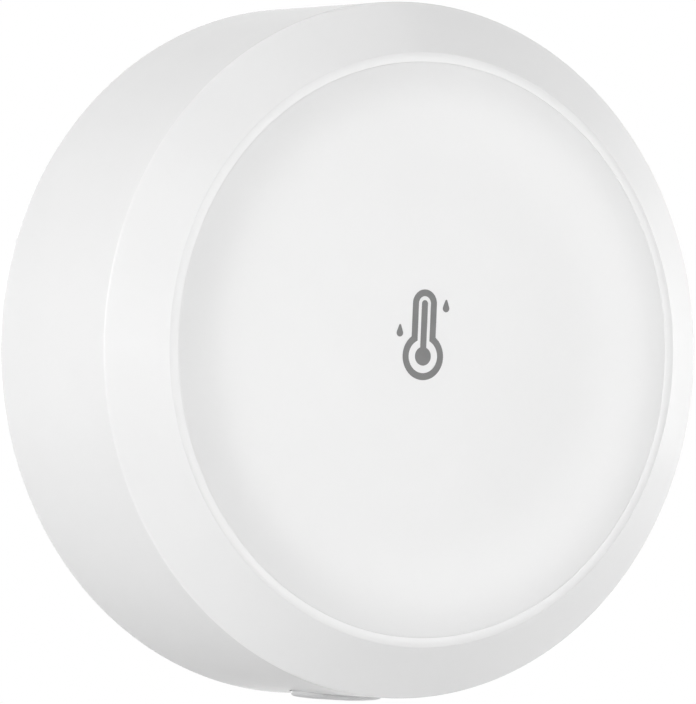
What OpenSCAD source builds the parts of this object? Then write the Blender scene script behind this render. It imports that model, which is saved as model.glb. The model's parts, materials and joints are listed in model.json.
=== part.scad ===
// Round wall-mounted temperature and humidity sensor, built as an assembly.
// Millimetres, +Z up. The face looks along -Y and the origin lies on the wall,
// at the centre of the adhesive pad's rear face.

/* [Housing] */
// Outer diameter of the housing
body_d = 60; // [59:0.5:72]
// Length of the straight side wall
side_h = 17.7; // [17:0.1:21]
// Depth of the bevel between the side wall and the lip
bevel_h = 3.4; // [3:0.1:5]
// Radial width of the bevel
bevel_w = 4.45; // [3:0.05:6]
// Width of the flat lip round the face
lip_w = 0.85; // [0.5:0.05:2]
// Depth of the face's flat middle below the lip
dish_depth = 0.55; // [0.3:0.05:1]
// Height of the sharp step at the lip's inner edge
dish_step = 0.1; // [0.05:0.05:0.25]
// Radius of the flat middle of the face
flat_r = 15.5; // [10:0.5:20]
// Power of the curve from the flat middle up to the step
dish_power = 2.6; // [2:0.1:4]
// Thickness of the side wall
wall_t = 1.8; // [1.4:0.1:2.2]
// Thickness of the face
face_t = 1.8; // [1.4:0.1:2.2]
// Rounding of the crease between the side wall and the bevel
crease_r = 0.5; // [0.2:0.1:1.5]
// Thickness of the rim round the rear cover
rim_t = 1.1; // [0.9:0.1:1.3]

/* [Rear cover] */
// Thickness of the cover plate
cover_t = 1.8; // [1.5:0.1:2.5]
// Height of the spigot arcs that enter the housing
spigot_h = 2.4; // [1.5:0.1:3]
// Thickness of the spigot arcs
spigot_t = 1.2; // [0.8:0.1:1.6]
// Half the angle of a spigot arc
spigot_half_a = 46; // [30:1:50]
// Width of the key that sets the cover's turn
key_w = 4; // [3:0.5:6]
// Vent slots in each of the two fans
vent_count = 7; // [3:2:9]
// Width of a vent slot
vent_w = 1.5; // [1:0.1:1.8]
// Length of a vent slot
vent_l = 4.2; // [3:0.1:4.6]
// Width of the finger notch in the cover's edge
notch_w = 8; // [6:0.5:12]
// Diameter of the adhesive pad
pad_d = 40; // [30:1:41]
// Thickness of the adhesive pad
pad_t = 1.2; // [0.8:0.1:2]
// Depth of the pad's seat in the cover
pad_seat = 0.4; // [0.2:0.1:0.6]

/* [Button] */
// Length of the button round the wall
button_l = 8.6; // [7:0.1:11]
// Width of the button along the wall
button_w = 4; // [3:0.1:5]
// Height of the button above the wall
button_proud = 0.4; // [0.2:0.05:0.8]
// Rounding of the button's edge
button_edge = 0.3; // [0.1:0.05:0.5]
// Place of the button's centre along the side wall, from its rear rim
button_at = 8.8; // [7:0.1:10]
// Overlap of the button's flange behind the wall
flange_over = 1; // [0.6:0.1:1.4]
// Thickness of the button's flange
flange_t = 0.9; // [0.7:0.1:1.2]
// Travel of the button
press = 0.4; // [0.2:0.05:0.5]

/* [Cells] */
// Diameter of an R03 cell
cell_d = 10.5; // [9.5:0.1:10.5]
// Length of an R03 cell with its nub
cell_l = 44.5; // [43.3:0.1:44.5]
// Room between the two cells
cell_apart = 0.6; // [0.4:0.1:1.2]
// Length of a contact spring under load
spring_l = 3.2; // [3:0.1:3.6]
// Diameter of the spring wire
wire_d = 0.5; // [0.4:0.05:0.5]
// Turns of a contact spring
spring_turns = 3; // [2:0.5:3]
// Thickness of the contact sheet
sheet_t = 0.4; // [0.3:0.05:0.5]

/* [Tray and board] */
// Thickness of the tray's floor and ears
tray_t = 1.2; // [1:0.1:1.4]
// Thickness of the tray's rails and end walls
rail_t = 1.2; // [0.8:0.1:1.4]
// Thickness of the main board
board_t = 1; // [0.8:0.1:1.2]
// Room between the main board's edge and the housing's bore
board_room = 2.2; // [1.5:0.1:3]
// Direction of a screw boss above the horizontal
boss_a = 43.5; // [42:0.5:46]
// Distance of the screw bosses from the housing's bore
boss_in = 4.8; // [4.2:0.1:5.2]
// Diameter of a screw's shank
screw_d = 2; // [1.6:0.1:2.2]
// Length of a screw's shank
screw_l = 5; // [4:0.1:5.2]
// Diameter of a screw's head
head_d = 3.8; // [3.2:0.1:4.2]

/* [Fits] */
// Room round the cover in the housing's rim
cover_gap = 0.15; // [0.1:0.05:0.3]
// Room round the spigot in the housing's bore
spigot_gap = 0.3; // [0.2:0.05:0.4]
// Room left by a crush rib in the housing's bore
crush_gap = 0.05; // [0.02:0.01:0.1]
// Room round the button in its window
button_gap = 0.15; // [0.1:0.01:0.25]
// Room between the button's flange and the housing's bore
flange_gap = 0.1; // [0.05:0.01:0.2]
// Room round a cell in its cradle
cell_gap = 0.15; // [0.1:0.05:0.25]
// Room between the cells and the cover
cover_room = 0.4; // [0.3:0.1:1]
// Small room between seated pieces
seat_gap = 0.05; // [0.02:0.01:0.1]

/* [Hidden] */
$fn = 72;

// Colours as the photo shows them, and plain ones inside
white = [0.95, 0.95, 0.95];
frosted = [0.86, 0.87, 0.88];
steel = [0.75, 0.75, 0.76];
green = [0.08, 0.32, 0.2];
black = [0.12, 0.12, 0.13];

// Radii
body_r = body_d / 2;
bore_r = body_r - wall_t;
rebate_r = body_r - rim_t;
lip_r = body_r - bevel_w;
dish_r = lip_r - lip_w;
cover_r = rebate_r - cover_gap;
spigot_r = bore_r - spigot_gap;
pad_r = pad_d / 2;
cell_r = cell_d / 2;
board_r = bore_r - board_room;

// Depths from the wall, towards the face
rim_z = pad_t - pad_seat;
shoulder_z = rim_z + cover_t;
crease_z = rim_z + side_h;
lip_z = crease_z + bevel_h;
dish_z = lip_z - dish_depth;
face_in_z = dish_z - face_t;
cell_z = shoulder_z + cover_room + cell_r;
floor_z = cell_z + cell_r + cell_gap;
board_z = floor_z + tray_t;
board_front_z = board_z + board_t;
button_z = rim_z + button_at;

// The bevel turns away from the side wall by this angle
bevel_a = atan2(bevel_w, bevel_h);
in_bevel_z = crease_z - wall_t * tan(bevel_a / 2);
in_face_r = bore_r - (face_in_z - in_bevel_z) * bevel_w / bevel_h;
rim_edge = 0.25;

// How far a cut runs past the face that it opens
past = 1;

// Points along the small arcs and along the dish
arc_steps = 6;
dish_steps = 8;

// Rear cover
pad_gap = 0.3;
vent_step = 8.5;
vent_r = (pad_r + pad_gap + spigot_r - spigot_t) / 2;
key_back = 0.3;
key_h = spigot_h - key_back;
key_t = spigot_gap + spigot_t;
crush_r = 0.5;
crush_lead = 0.4;
crush_at = [-40, -14, 14, 40];
notch_deep = 1.4;
notch_web = 0.6;
cover_edge = 0.3;

// Battery bay
cell_y = (cell_d + cell_apart) / 2;
bay_half = (cell_l + spring_l + 2 * sheet_t + 2 * seat_gap) / 2;
pocket_l = sheet_t + spring_l;
nub_d = 3.8;
nub_h = 1;
nub_edge = 0.2;
cell_crimp = 0.4;
rail_in = cell_y + cell_r + cell_gap;
rail_out = rail_in + rail_t;
rail_up = 1;
end_up = 4.4;
window_l = 26;
window_w = 3.6;
sheet_w = 8.4;
tail_w = 2.2;
tail_sink = 0.2;
dimple_d = 4.6;
dimple_h = 0.3;
spring_wide_r = 3.6;
spring_tip_r = 2;

// Where the bay's ends need more room than the bore gives, pockets thin the wall down to a skin
tray_gap = 0.4;
pocket_skin = 0.6;
bay_corner_r = norm([bay_half + rail_t, cell_y + sheet_w / 2]);
pocket_r = max(bore_r, min(bay_corner_r + tray_gap, body_r - pocket_skin));
tray_r = pocket_r - tray_gap;

// Screw bosses
boss_r = bore_r - boss_in;
boss_x = boss_r * cos(boss_a);
boss_y = boss_r * sin(boss_a);
boss_d = 4.4;
ear_d = 5.4;
head_h = 1.4;
pilot_gap = 0.02;
hole_gap = 0.2;
boss_at = [for (sx = [-1, 1], sy = [-1, 1]) [sx * boss_x, sy * boss_y]];

// Switch, on the board's rear face beside the button
switch_w = 6;
switch_t = 3.6;
switch_h = 6.6;
switch_axis_h = 3.6;
switch_edge = 1.6;
switch_front_y = board_r - switch_edge;
plunger_d = 3.3;
plunger_out = 1.5;
plunger_in = 2;
plunger_gap = 0.06;
plunger_z = board_z - switch_axis_h;
tip_y = switch_front_y + plunger_out;
post_w = 3;
post_wall = 1.2;
strap_t = 0.3;
strap_w = 1.8;
leg_w = 1;

// Radio module, above the cells
radio_w = 16;
radio_h = 10.4;
radio_t = 0.8;
radio_room = 0.5;
radio_y = rail_out + radio_room + radio_h / 2;
shield_w = 12;
shield_h = 7.4;
shield_t = 1.9;
shield_skin = 0.25;
shield_up = 1;

// Other board parts
capacitor_d = 5;
capacitor_h = 6.4;
capacitor_room = 1;
capacitor_up = 3;
capacitor_x = radio_w / 2 + capacitor_room + capacitor_d / 2;
capacitor_y = boss_y + capacitor_up;
sensor_w = 3;
sensor_h = 1.1;
sensor_port_d = 1.3;
sensor_x = 9;
sensor_in = 5.5;
sensor_y = -(rail_out + sensor_in);
relief_w = 0.8;
relief_room = 1.3;
relief_l = sensor_w + 2 * relief_room;
led_w = 2;
led_l = 1.3;
led_h = 0.9;
led_x = -6.4;
led_in = 1.4;
led_y = -(switch_front_y - led_in);

// Turns the lying model upright: depth goes towards -Y and up towards +Z
module facing() {
    rotate([90, 0, 0]) children();
}

function arc(centre, r, from, to, steps) =
    [for (i = [0:steps]) let (a = from + (to - from) * i / steps) centre + r * [cos(a), sin(a)]];

// Flat slot with round ends, lying along X
module pill(l, w) {
    square([l - w, w], center = true);
    for (s = [-1, 1]) translate([s * (l - w) / 2, 0]) circle(d = w);
}

// Half of a pill's section: across the pill and out from the axis, with a rounded or sharp outer edge
function pill_side(w, r0, r1, edge) = concat(
    [[0, r0], [w / 2, r0]],
    edge > 0 ? arc([w / 2 - edge, r1 - edge], edge, 0, 90, arc_steps) : [[w / 2, r1]],
    [[0, r1]]
);

// Pill that follows the round wall at the bottom of the body, from r0 out to r1
module curved_pill(l, w, r0, r1, edge) {
    half_a = asin((l - w) / 2 / body_r);
    side = pill_side(w, r0, r1, edge);
    section = concat(
        [for (p = side) [p[1], p[0]]],
        [for (i = [len(side) - 1:-1:0]) [side[i][1], -side[i][0]]]
    );
    translate([0, 0, button_z]) rotate([0, 0, 270]) {
        rotate([0, 0, -half_a]) rotate_extrude(angle = 2 * half_a) polygon(section);
        for (s = [-1, 1]) rotate([0, 0, s * half_a]) rotate([0, 90, 0]) {
            rotate_extrude() polygon(side);
        }
    }
}

// Piece standing on the board's rear face, drawn from the board towards the wall
module on_board(h) {
    translate([0, 0, board_z - h]) linear_extrude(h) children();
}

// Housing: one revolved moulding with bosses, a key and the button's window
function housing_profile() = concat(
    [[0, face_in_z], [in_face_r, face_in_z], [bore_r, in_bevel_z], [bore_r, shoulder_z]],
    [[rebate_r, shoulder_z], [rebate_r, rim_z], [body_r - rim_edge, rim_z], [body_r, rim_z + rim_edge]],
    arc([body_r - crease_r, crease_z - crease_r * tan(bevel_a / 2)], crease_r, 0, bevel_a, arc_steps),
    [[lip_r, lip_z], [dish_r, lip_z]],
    [
        for (i = [0:dish_steps])
            let (t = 1 - i / dish_steps)
            [flat_r + (dish_r - flat_r) * t, dish_z + (dish_depth - dish_step) * pow(t, dish_power)]
    ],
    [[0, dish_z]]
);

module bay_pocket() {
    half_x = bay_half + rail_t + tray_gap;
    half_y = rail_out + tray_gap;
    intersection() {
        translate([-half_x, -half_y, shoulder_z]) cube([2 * half_x, 2 * half_y, board_z - shoulder_z]);
        cylinder(r = pocket_r, h = lip_z);
    }
}

module housing() {
    boss_h = face_in_z - board_front_z;
    pilot_h = screw_l - tray_t - board_t + pilot_gap;
    color(white) facing() difference() {
        union() {
            rotate_extrude() polygon(housing_profile());
            for (p = boss_at) translate([p[0], p[1], board_front_z]) {
                cylinder(d = boss_d, h = boss_h + face_t / 2);
            }
            translate([0, 0, shoulder_z + key_back]) intersection() {
                translate([-key_w / 2, bore_r - key_t, 0]) cube([key_w, key_t + wall_t / 2, key_h]);
                cylinder(r = bore_r + wall_t / 2, h = key_h);
            }
        }
        translate([0, -bore_r + past, button_z]) rotate([90, 0, 0]) linear_extrude(wall_t + 2 * past) {
            pill(button_l + 2 * button_gap, button_w + 2 * button_gap);
        }
        for (p = boss_at) translate([p[0], p[1], board_front_z - past]) {
            cylinder(d = screw_d + 2 * pilot_gap, h = pilot_h + past);
        }
        if (pocket_r > bore_r) bay_pocket();
    }
}

// Button: curved cap, flange behind the wall and a post that reaches the switch
module button() {
    flange_out = bore_r - flange_gap;
    flange_in = flange_out - flange_t;
    post_z = button_z - post_wall;
    color(frosted) facing() {
        curved_pill(button_l, button_w, flange_in, body_r + button_proud, button_edge);
        intersection() {
            curved_pill(button_l + 2 * flange_over, button_w + 2 * flange_over, flange_in, bore_r, 0);
            cylinder(r = flange_out, h = lip_z);
        }
        translate([-post_w / 2, -flange_out + flange_t / 2, post_z]) {
            cube([post_w, flange_out - flange_t / 2 - tip_y, plunger_z + post_wall - post_z]);
        }
    }
}

// Rear cover: plate with a seat for the pad, spigot arcs, crush ribs, vents and a finger notch
module spigot_arc() {
    rotate([0, 0, -spigot_half_a]) rotate_extrude(angle = 2 * spigot_half_a) {
        translate([spigot_r - spigot_t, shoulder_z - cover_t / 2]) square([spigot_t, spigot_h + cover_t / 2]);
    }
    for (a = crush_at) rotate([0, 0, a]) {
        translate([bore_r - crush_gap - crush_r, 0, shoulder_z - cover_t / 2]) {
            cylinder(r = crush_r, h = cover_t / 2 + spigot_h - crush_lead);
        }
    }
}

module rear_cover() {
    color(white) facing() difference() {
        union() {
            rotate_extrude() polygon([
                [0, rim_z], [cover_r - cover_edge, rim_z], [cover_r, rim_z + cover_edge],
                [cover_r, shoulder_z], [0, shoulder_z]
            ]);
            for (side = [90, 270]) rotate([0, 0, side]) spigot_arc();
        }
        translate([0, 0, rim_z - past]) cylinder(r = pad_r + pad_gap, h = pad_seat + past);
        for (side = [90, 270], i = [0:vent_count - 1]) {
            a = side + vent_step * (i - (vent_count - 1) / 2);
            rotate([0, 0, a]) translate([vent_r, 0, rim_z - past]) {
                linear_extrude(cover_t + 2 * past) pill(vent_l, vent_w);
            }
        }
        translate([-key_w / 2 - cover_gap, 0, shoulder_z]) {
            cube([key_w + 2 * cover_gap, body_r, spigot_h + past]);
        }
        translate([cover_r - notch_deep, -notch_w / 2, rim_z - past]) {
            cube([notch_deep + past, notch_w, cover_t - notch_web + past]);
        }
    }
}

module adhesive_pad() {
    color("gainsboro") facing() cylinder(r = pad_r, h = pad_t);
}

// Battery tray: block with two cradles, end pockets for the contacts and four screw ears
module bay(side) {
    pocket_w = sheet_w + 2 * cell_gap;
    for (s = [-1, 1]) translate([s * (bay_half - pocket_l / 2), side * cell_y, floor_z / 2]) {
        cube([pocket_l, pocket_w, floor_z], center = true);
    }
    translate([-bay_half, side * cell_y, cell_z]) rotate([0, 90, 0]) {
        cylinder(r = cell_r + cell_gap, h = 2 * bay_half);
    }
    translate([-bay_half, side * cell_y - cell_r - cell_gap, 0]) {
        cube([2 * bay_half, 2 * (cell_r + cell_gap), cell_z]);
    }
    translate([0, side * cell_y, floor_z - past]) linear_extrude(tray_t + 2 * past) pill(window_l, window_w);
}

module battery_tray() {
    rail_z = cell_z - rail_up;
    end_z = cell_z - end_up;
    outer_half = bay_half + rail_t;
    color(black) facing() difference() {
        union() {
            intersection() {
                union() {
                    translate([-outer_half, -rail_out, rail_z]) {
                        cube([2 * outer_half, 2 * rail_out, board_z - rail_z]);
                    }
                    for (s = [-1, 1]) translate([s * (bay_half + rail_t / 2), 0, (end_z + board_z) / 2]) {
                        cube([rail_t, 2 * rail_out, board_z - end_z], center = true);
                    }
                }
                cylinder(r = tray_r, h = board_z);
            }
            translate([0, 0, floor_z]) linear_extrude(tray_t) for (p = boss_at) {
                translate(p) circle(d = ear_d);
                translate([p[0] - ear_d / 2, min(p[1], sign(p[1]) * rail_in)]) {
                    square([ear_d, abs(p[1]) - rail_in]);
                }
            }
        }
        for (side = [-1, 1]) bay(side);
        for (p = boss_at) translate([p[0], p[1], floor_z - past]) {
            cylinder(d = screw_d + 2 * hole_gap, h = tray_t + 2 * past);
        }
        for (sx = [-1, 1], sy = [-1, 1]) translate([sx * (bay_half - sheet_t / 2), sy * cell_y, board_z]) {
            cube([sheet_t + 2 * seat_gap, tail_w + 2 * cell_gap, 4 * tray_t], center = true);
        }
    }
}

// Cell lying along X with its nub at the positive end
module cell(side) {
    can_l = cell_l - nub_h;
    profile = [
        [0, 0], [cell_r - 2 * cell_crimp, 0], [cell_r - cell_crimp, cell_crimp / 2], [cell_r, cell_crimp],
        [cell_r, can_l - cell_crimp], [cell_r - cell_crimp, can_l], [nub_d / 2, can_l],
        [nub_d / 2, cell_l - nub_edge], [nub_d / 2 - nub_edge, cell_l], [0, cell_l]
    ];
    nub_x = bay_half - sheet_t - dimple_h - seat_gap;
    facing() translate([0, side * cell_y, cell_z]) rotate([0, side * 90, 0]) {
        translate([0, 0, nub_x - cell_l]) rotate_extrude() polygon(profile);
    }
}

module cell_upper() {
    color("darkseagreen") cell(1);
}

module cell_lower() {
    color("darkseagreen") cell(-1);
}

// Sheet contact on an end wall, clear of the bore, with a tail that reaches the board
module contact_sheet(end, side) {
    top_z = cell_z - end_up;
    intersection() {
        translate([end * (bay_half - sheet_t / 2), side * cell_y, 0]) {
            translate([0, 0, (top_z + floor_z) / 2]) {
                cube([sheet_t, sheet_w, floor_z - top_z], center = true);
            }
            translate([0, 0, (floor_z + board_z - tail_sink) / 2]) {
                cube([sheet_t, tail_w, board_z - floor_z + tail_sink], center = true);
            }
        }
        cylinder(r = tray_r, h = lip_z);
    }
}

// Raised dimple that meets a cell's nub
module dimple(end, side) {
    translate([end * (bay_half - sheet_t), side * cell_y, cell_z]) rotate([0, -end * 90, 0]) {
        cylinder(d1 = dimple_d, d2 = dimple_d - 2 * dimple_h, h = dimple_h);
    }
}

module positive_contact() {
    color(steel) facing() {
        contact_sheet(1, 1);
        dimple(1, 1);
    }
}

module negative_contact() {
    color(steel) facing() contact_sheet(1, -1);
}

module bridge_contact() {
    bridge_h = 3;
    color(steel) facing() {
        contact_sheet(-1, 1);
        contact_sheet(-1, -1);
        dimple(-1, -1);
        translate([-bay_half + sheet_t / 2, 0, cell_z - end_up + bridge_h / 2]) {
            cube([sheet_t, 2 * cell_y, bridge_h], center = true);
        }
    }
}

// Conical contact spring, one round wire from the sheet to the cell
rings_per_turn = 8;
wire_sides = 6;
spring_rings = spring_turns * rings_per_turn;
spring_run = spring_l - dimple_h - wire_d - 2 * seat_gap;

function spring_point(i) =
    let (
        t = i / spring_rings,
        a = 360 * spring_turns * t,
        r = spring_wide_r + (spring_tip_r - spring_wide_r) * t
    )
    [r * cos(a), r * sin(a), wire_d / 2 + seat_gap + spring_run * t];

function unit(v) = v / norm(v);

function wire_ring(i) =
    let (
        p = spring_point(i),
        along = unit(spring_point(i + 0.5) - spring_point(i - 0.5)),
        out = unit([p[0], p[1], 0]),
        side = unit(cross(along, out)),
        up = cross(side, along)
    )
    [
        for (k = [0:wire_sides - 1])
            let (a = 360 * k / wire_sides)
            p + wire_d / 2 * (cos(a) * up + sin(a) * side)
    ];

spring_path = [for (i = [0:spring_rings]) spring_point(i)];
spring_gaps = [
    for (i = [0:spring_rings], k = [i + rings_per_turn / 2:1:spring_rings])
        norm(spring_path[i] - spring_path[k]) - wire_d
];
echo("least gap between the turns of a contact spring", min(spring_gaps));

module contact_spring(end, side) {
    points = [for (i = [0:spring_rings]) each wire_ring(i)];
    last = spring_rings * wire_sides;
    sides = [
        for (i = [0:spring_rings - 1], k = [0:wire_sides - 1])
            let (a = i * wire_sides + k, b = i * wire_sides + (k + 1) % wire_sides)
            each [[a, b, b + wire_sides], [a, b + wire_sides, a + wire_sides]]
    ];
    caps = [for (k = [1:wire_sides - 2]) each [[0, k + 1, k], [last, last + k, last + k + 1]]];
    translate([end * (bay_half - sheet_t), side * cell_y, cell_z]) rotate([0, -end * 90, 0]) {
        polyhedron(points, concat(sides, caps));
    }
}

module negative_spring() {
    color("silver") facing() contact_spring(1, -1);
}

module bridge_spring() {
    color("silver") facing() contact_spring(-1, 1);
}

// Main board: round, with screw holes, a heat relief slot round the sensor and switch leg holes
module circuit_board() {
    color(green) facing() translate([0, 0, board_z]) linear_extrude(board_t) difference() {
        circle(r = board_r);
        for (p = boss_at) translate(p) circle(d = screw_d + 2 * hole_gap);
        for (s = [-1, 1]) translate([sensor_x + s * relief_l / 2, sensor_y]) {
            square([relief_w, relief_l], center = true);
        }
        translate([sensor_x, sensor_y + relief_l / 2]) square([relief_l + relief_w, relief_w], center = true);
        for (s = [-1, 1]) translate([s * (switch_w / 2 + strap_t / 2), -switch_front_y + switch_t / 2]) {
            square([strap_t + 2 * hole_gap, leg_w + 2 * hole_gap], center = true);
        }
        for (s = [-1, 1]) translate([s * board_r, 0]) circle(d = 2 * board_room);
    }
}

module radio_board() {
    notch_count = 6;
    notch_d = 0.9;
    pitch = radio_w / notch_count;
    color("darkslategray") facing() on_board(radio_t) translate([0, radio_y]) difference() {
        square([radio_w, radio_h], center = true);
        for (i = [0:notch_count - 1]) translate([pitch * (i - (notch_count - 1) / 2), -radio_h / 2]) {
            circle(d = notch_d);
        }
    }
}

// Thin can over the radio chip, open towards its board
module radio_shield() {
    can_y = radio_y - (radio_h - shield_h) / 2 + shield_up;
    color(steel) facing() translate([0, can_y, board_z - radio_t - shield_t]) difference() {
        translate([-shield_w / 2, -shield_h / 2, 0]) cube([shield_w, shield_h, shield_t]);
        translate([-shield_w / 2 + shield_skin, -shield_h / 2 + shield_skin, shield_skin]) {
            cube([shield_w - 2 * shield_skin, shield_h - 2 * shield_skin, shield_t]);
        }
    }
}

module humidity_sensor() {
    port_h = 0.4;
    color(black) facing() difference() {
        on_board(sensor_h) translate([sensor_x, sensor_y]) square(sensor_w, center = true);
        translate([sensor_x, sensor_y, board_z - sensor_h - past]) {
            cylinder(d = sensor_port_d, h = port_h + past);
        }
    }
}

module status_led() {
    lens_d = 1.1;
    color("lightyellow") facing() {
        on_board(led_h / 2) translate([led_x, led_y]) square([led_w, led_l], center = true);
        on_board(led_h) translate([led_x, led_y]) circle(d = lens_d);
    }
}

// Right-angle switch: case, plunger that moves with the button, and a strap with two legs
module tact_switch() {
    bore_h = plunger_in + press + seat_gap;
    color(black) facing() difference() {
        on_board(switch_h) translate([0, -switch_front_y + switch_t / 2]) {
            square([switch_w, switch_t], center = true);
        }
        translate([0, -switch_front_y + bore_h, plunger_z]) rotate([90, 0, 0]) {
            cylinder(d = plunger_d + 2 * plunger_gap, h = bore_h + past);
        }
    }
}

module switch_plunger() {
    color("ivory") facing() translate([0, -switch_front_y + plunger_in, plunger_z]) rotate([90, 0, 0]) {
        cylinder(d = plunger_d, h = plunger_in + plunger_out);
    }
}

module switch_bracket() {
    leg_out = 0.8;
    leg_sink = 0.1;
    strap_y = -switch_front_y + switch_t / 2;
    half = switch_w / 2;
    top_z = board_z - switch_h - strap_t;
    color(steel) facing() {
        translate([-half - strap_t, strap_y - strap_w / 2, top_z]) {
            cube([switch_w + 2 * strap_t, strap_w, strap_t]);
        }
        for (s = [-1, 1]) translate([s * (half + strap_t / 2), strap_y, 0]) {
            translate([0, 0, (top_z + board_z) / 2]) cube([strap_t, strap_w, board_z - top_z], center = true);
            translate([-strap_t / 2, -leg_w / 2, board_z - leg_sink]) {
                cube([strap_t, leg_w, leg_sink + board_t + leg_out]);
            }
        }
    }
}

// Radial capacitor standing on the board, with a rolled groove near its base
module bulk_capacitor() {
    r = capacitor_d / 2;
    groove = 0.3;
    groove_at = 1.2;
    edge = 0.4;
    profile = [
        [0, 0], [r, 0], [r, groove_at - groove], [r - groove, groove_at], [r, groove_at + groove],
        [r, capacitor_h - edge], [r - edge, capacitor_h], [0, capacitor_h]
    ];
    color("midnightblue") facing() translate([capacitor_x, capacitor_y, board_z]) mirror([0, 0, 1]) {
        rotate_extrude() polygon(profile);
    }
}

// Regulator and small chip parts: place, width, length and height of each
regulator_l = 2.9;
regulator_w = 1.6;
regulator_h = 1.1;
regulator_in = 4;
regulator_y = -(rail_out + regulator_in);
chip_l = 1.6;
chip_w = 0.8;
chip_h = 0.8;
chip_out = 3.2;
chip_down = 2.6;
ear_room = 1.2;
regulator_x = -(boss_x - ear_d / 2 - ear_room - chip_w / 2 - chip_out);
small_l = 1;
small_w = 0.5;
small_h = 0.4;
small_x = sensor_x - relief_l / 2 - relief_w - small_l;
upper_room = 2.2;
upper_in = 3;
upper_x = -(radio_w / 2 + upper_room + chip_l / 2);
upper_y = rail_out + upper_in;
chips = [
    [[regulator_x, regulator_y], regulator_l, regulator_w, regulator_h],
    [[regulator_x + chip_out, regulator_y], chip_l, chip_w, chip_h],
    [[regulator_x - chip_out, regulator_y], chip_w, chip_l, chip_h],
    [[regulator_x, regulator_y - chip_down], chip_l, chip_w, chip_h],
    [[small_x, regulator_y + small_l], small_l, small_w, small_h],
    [[small_x, regulator_y], small_l, small_w, small_h],
    [[upper_x, upper_y], chip_l, chip_w, chip_h],
    [[upper_x, upper_y + 2 * chip_w], chip_l, chip_w, chip_h]
];

module chip_components() {
    color("dimgray") facing() for (c = chips) {
        on_board(c[3]) translate(c[0]) square([c[1], c[2]], center = true);
    }
}

// Pan head screw with a cross recess, pointing towards the face
module screw() {
    recess_l = 2.3;
    recess_w = 0.6;
    recess_h = 0.7;
    dome = 0.4;
    tip = 0.6;
    profile = [
        [0, -head_h], [head_d / 2 - dome, -head_h], [head_d / 2, -head_h + dome], [head_d / 2, 0],
        [screw_d / 2, 0], [screw_d / 2, screw_l - tip], [screw_d / 4, screw_l], [0, screw_l]
    ];
    difference() {
        rotate_extrude() polygon(profile);
        for (a = [0, 90]) rotate([0, 0, a]) translate([0, 0, -head_h]) {
            cube([recess_l, recess_w, 2 * recess_h], center = true);
        }
    }
}

module tray_screws() {
    color(steel) facing() for (p = boss_at) translate([p[0], p[1], floor_z]) screw();
}

housing();
button();
rear_cover();
adhesive_pad();
battery_tray();
cell_upper();
cell_lower();
positive_contact();
negative_contact();
bridge_contact();
negative_spring();
bridge_spring();
circuit_board();
radio_board();
radio_shield();
humidity_sensor();
status_led();
tact_switch();
switch_plunger();
switch_bracket();
bulk_capacitor();
chip_components();
tray_screws();
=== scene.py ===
import json
import math

import bpy
from mathutils import Matrix, Vector

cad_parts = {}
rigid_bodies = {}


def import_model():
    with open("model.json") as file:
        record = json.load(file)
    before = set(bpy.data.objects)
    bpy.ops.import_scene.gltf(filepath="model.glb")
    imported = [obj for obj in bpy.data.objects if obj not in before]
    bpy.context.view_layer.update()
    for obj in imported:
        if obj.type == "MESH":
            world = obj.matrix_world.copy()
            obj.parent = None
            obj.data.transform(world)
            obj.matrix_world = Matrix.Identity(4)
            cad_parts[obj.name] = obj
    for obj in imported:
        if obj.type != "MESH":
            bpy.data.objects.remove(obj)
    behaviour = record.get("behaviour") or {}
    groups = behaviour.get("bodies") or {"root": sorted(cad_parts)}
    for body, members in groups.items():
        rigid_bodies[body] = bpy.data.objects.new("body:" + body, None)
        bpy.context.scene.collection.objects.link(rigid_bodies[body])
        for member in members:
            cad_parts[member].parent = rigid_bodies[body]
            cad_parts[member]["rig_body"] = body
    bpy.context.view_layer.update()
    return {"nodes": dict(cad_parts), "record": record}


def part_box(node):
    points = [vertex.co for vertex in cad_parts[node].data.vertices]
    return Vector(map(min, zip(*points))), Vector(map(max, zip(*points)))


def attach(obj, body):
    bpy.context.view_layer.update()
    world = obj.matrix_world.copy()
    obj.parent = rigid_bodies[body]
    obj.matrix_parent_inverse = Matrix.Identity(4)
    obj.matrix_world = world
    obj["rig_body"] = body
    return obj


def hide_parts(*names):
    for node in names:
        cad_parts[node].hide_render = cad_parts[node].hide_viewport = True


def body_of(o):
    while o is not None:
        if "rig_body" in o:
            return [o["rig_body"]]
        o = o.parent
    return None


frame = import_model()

nodes = frame["nodes"]
mm = 0.001
print("frame loaded,", len(nodes), "nodes")

# small modelling tools: depth is counted from the wall towards the face, which looks along -Y
weldGap = 0.0005 * mm


def clearSelection():
    bpy.ops.object.select_all(action="DESELECT")


def pickOnly(piece):
    clearSelection()
    piece.select_set(True)
    bpy.context.view_layer.objects.active = piece


def startEditing(piece):
    pickOnly(piece)
    bpy.ops.object.mode_set(mode="EDIT")


def stopEditing():
    bpy.ops.object.mode_set(mode="OBJECT")


def applyPlace(piece):
    pickOnly(piece)
    bpy.ops.object.transform_apply(location=True, rotation=True, scale=True)


def applyModifier(piece, kind, **settings):
    modifier = piece.modifiers.new(kind.title(), kind)
    for setting, value in settings.items():
        setattr(modifier, setting, value)
    pickOnly(piece)
    bpy.ops.object.modifier_apply(modifier=modifier.name)


def cutWith(piece, tool, operation="DIFFERENCE"):
    applyModifier(piece, "BOOLEAN", operation=operation, solver="EXACT", object=tool)
    bpy.data.objects.remove(tool)


def smoothFaces(piece, degrees=35):
    pickOnly(piece)
    bpy.ops.object.shade_smooth_by_angle(angle=math.radians(degrees))
    applyModifier(piece, "WEIGHTED_NORMAL", keep_sharp=True, weight=80)


def closeSeams(piece):
    # weld what meets and turn the faces outwards
    startEditing(piece)
    bpy.ops.mesh.select_all(action="SELECT")
    bpy.ops.mesh.remove_doubles(threshold=weldGap)
    bpy.ops.mesh.normals_make_consistent(inside=False)
    stopEditing()


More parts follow.
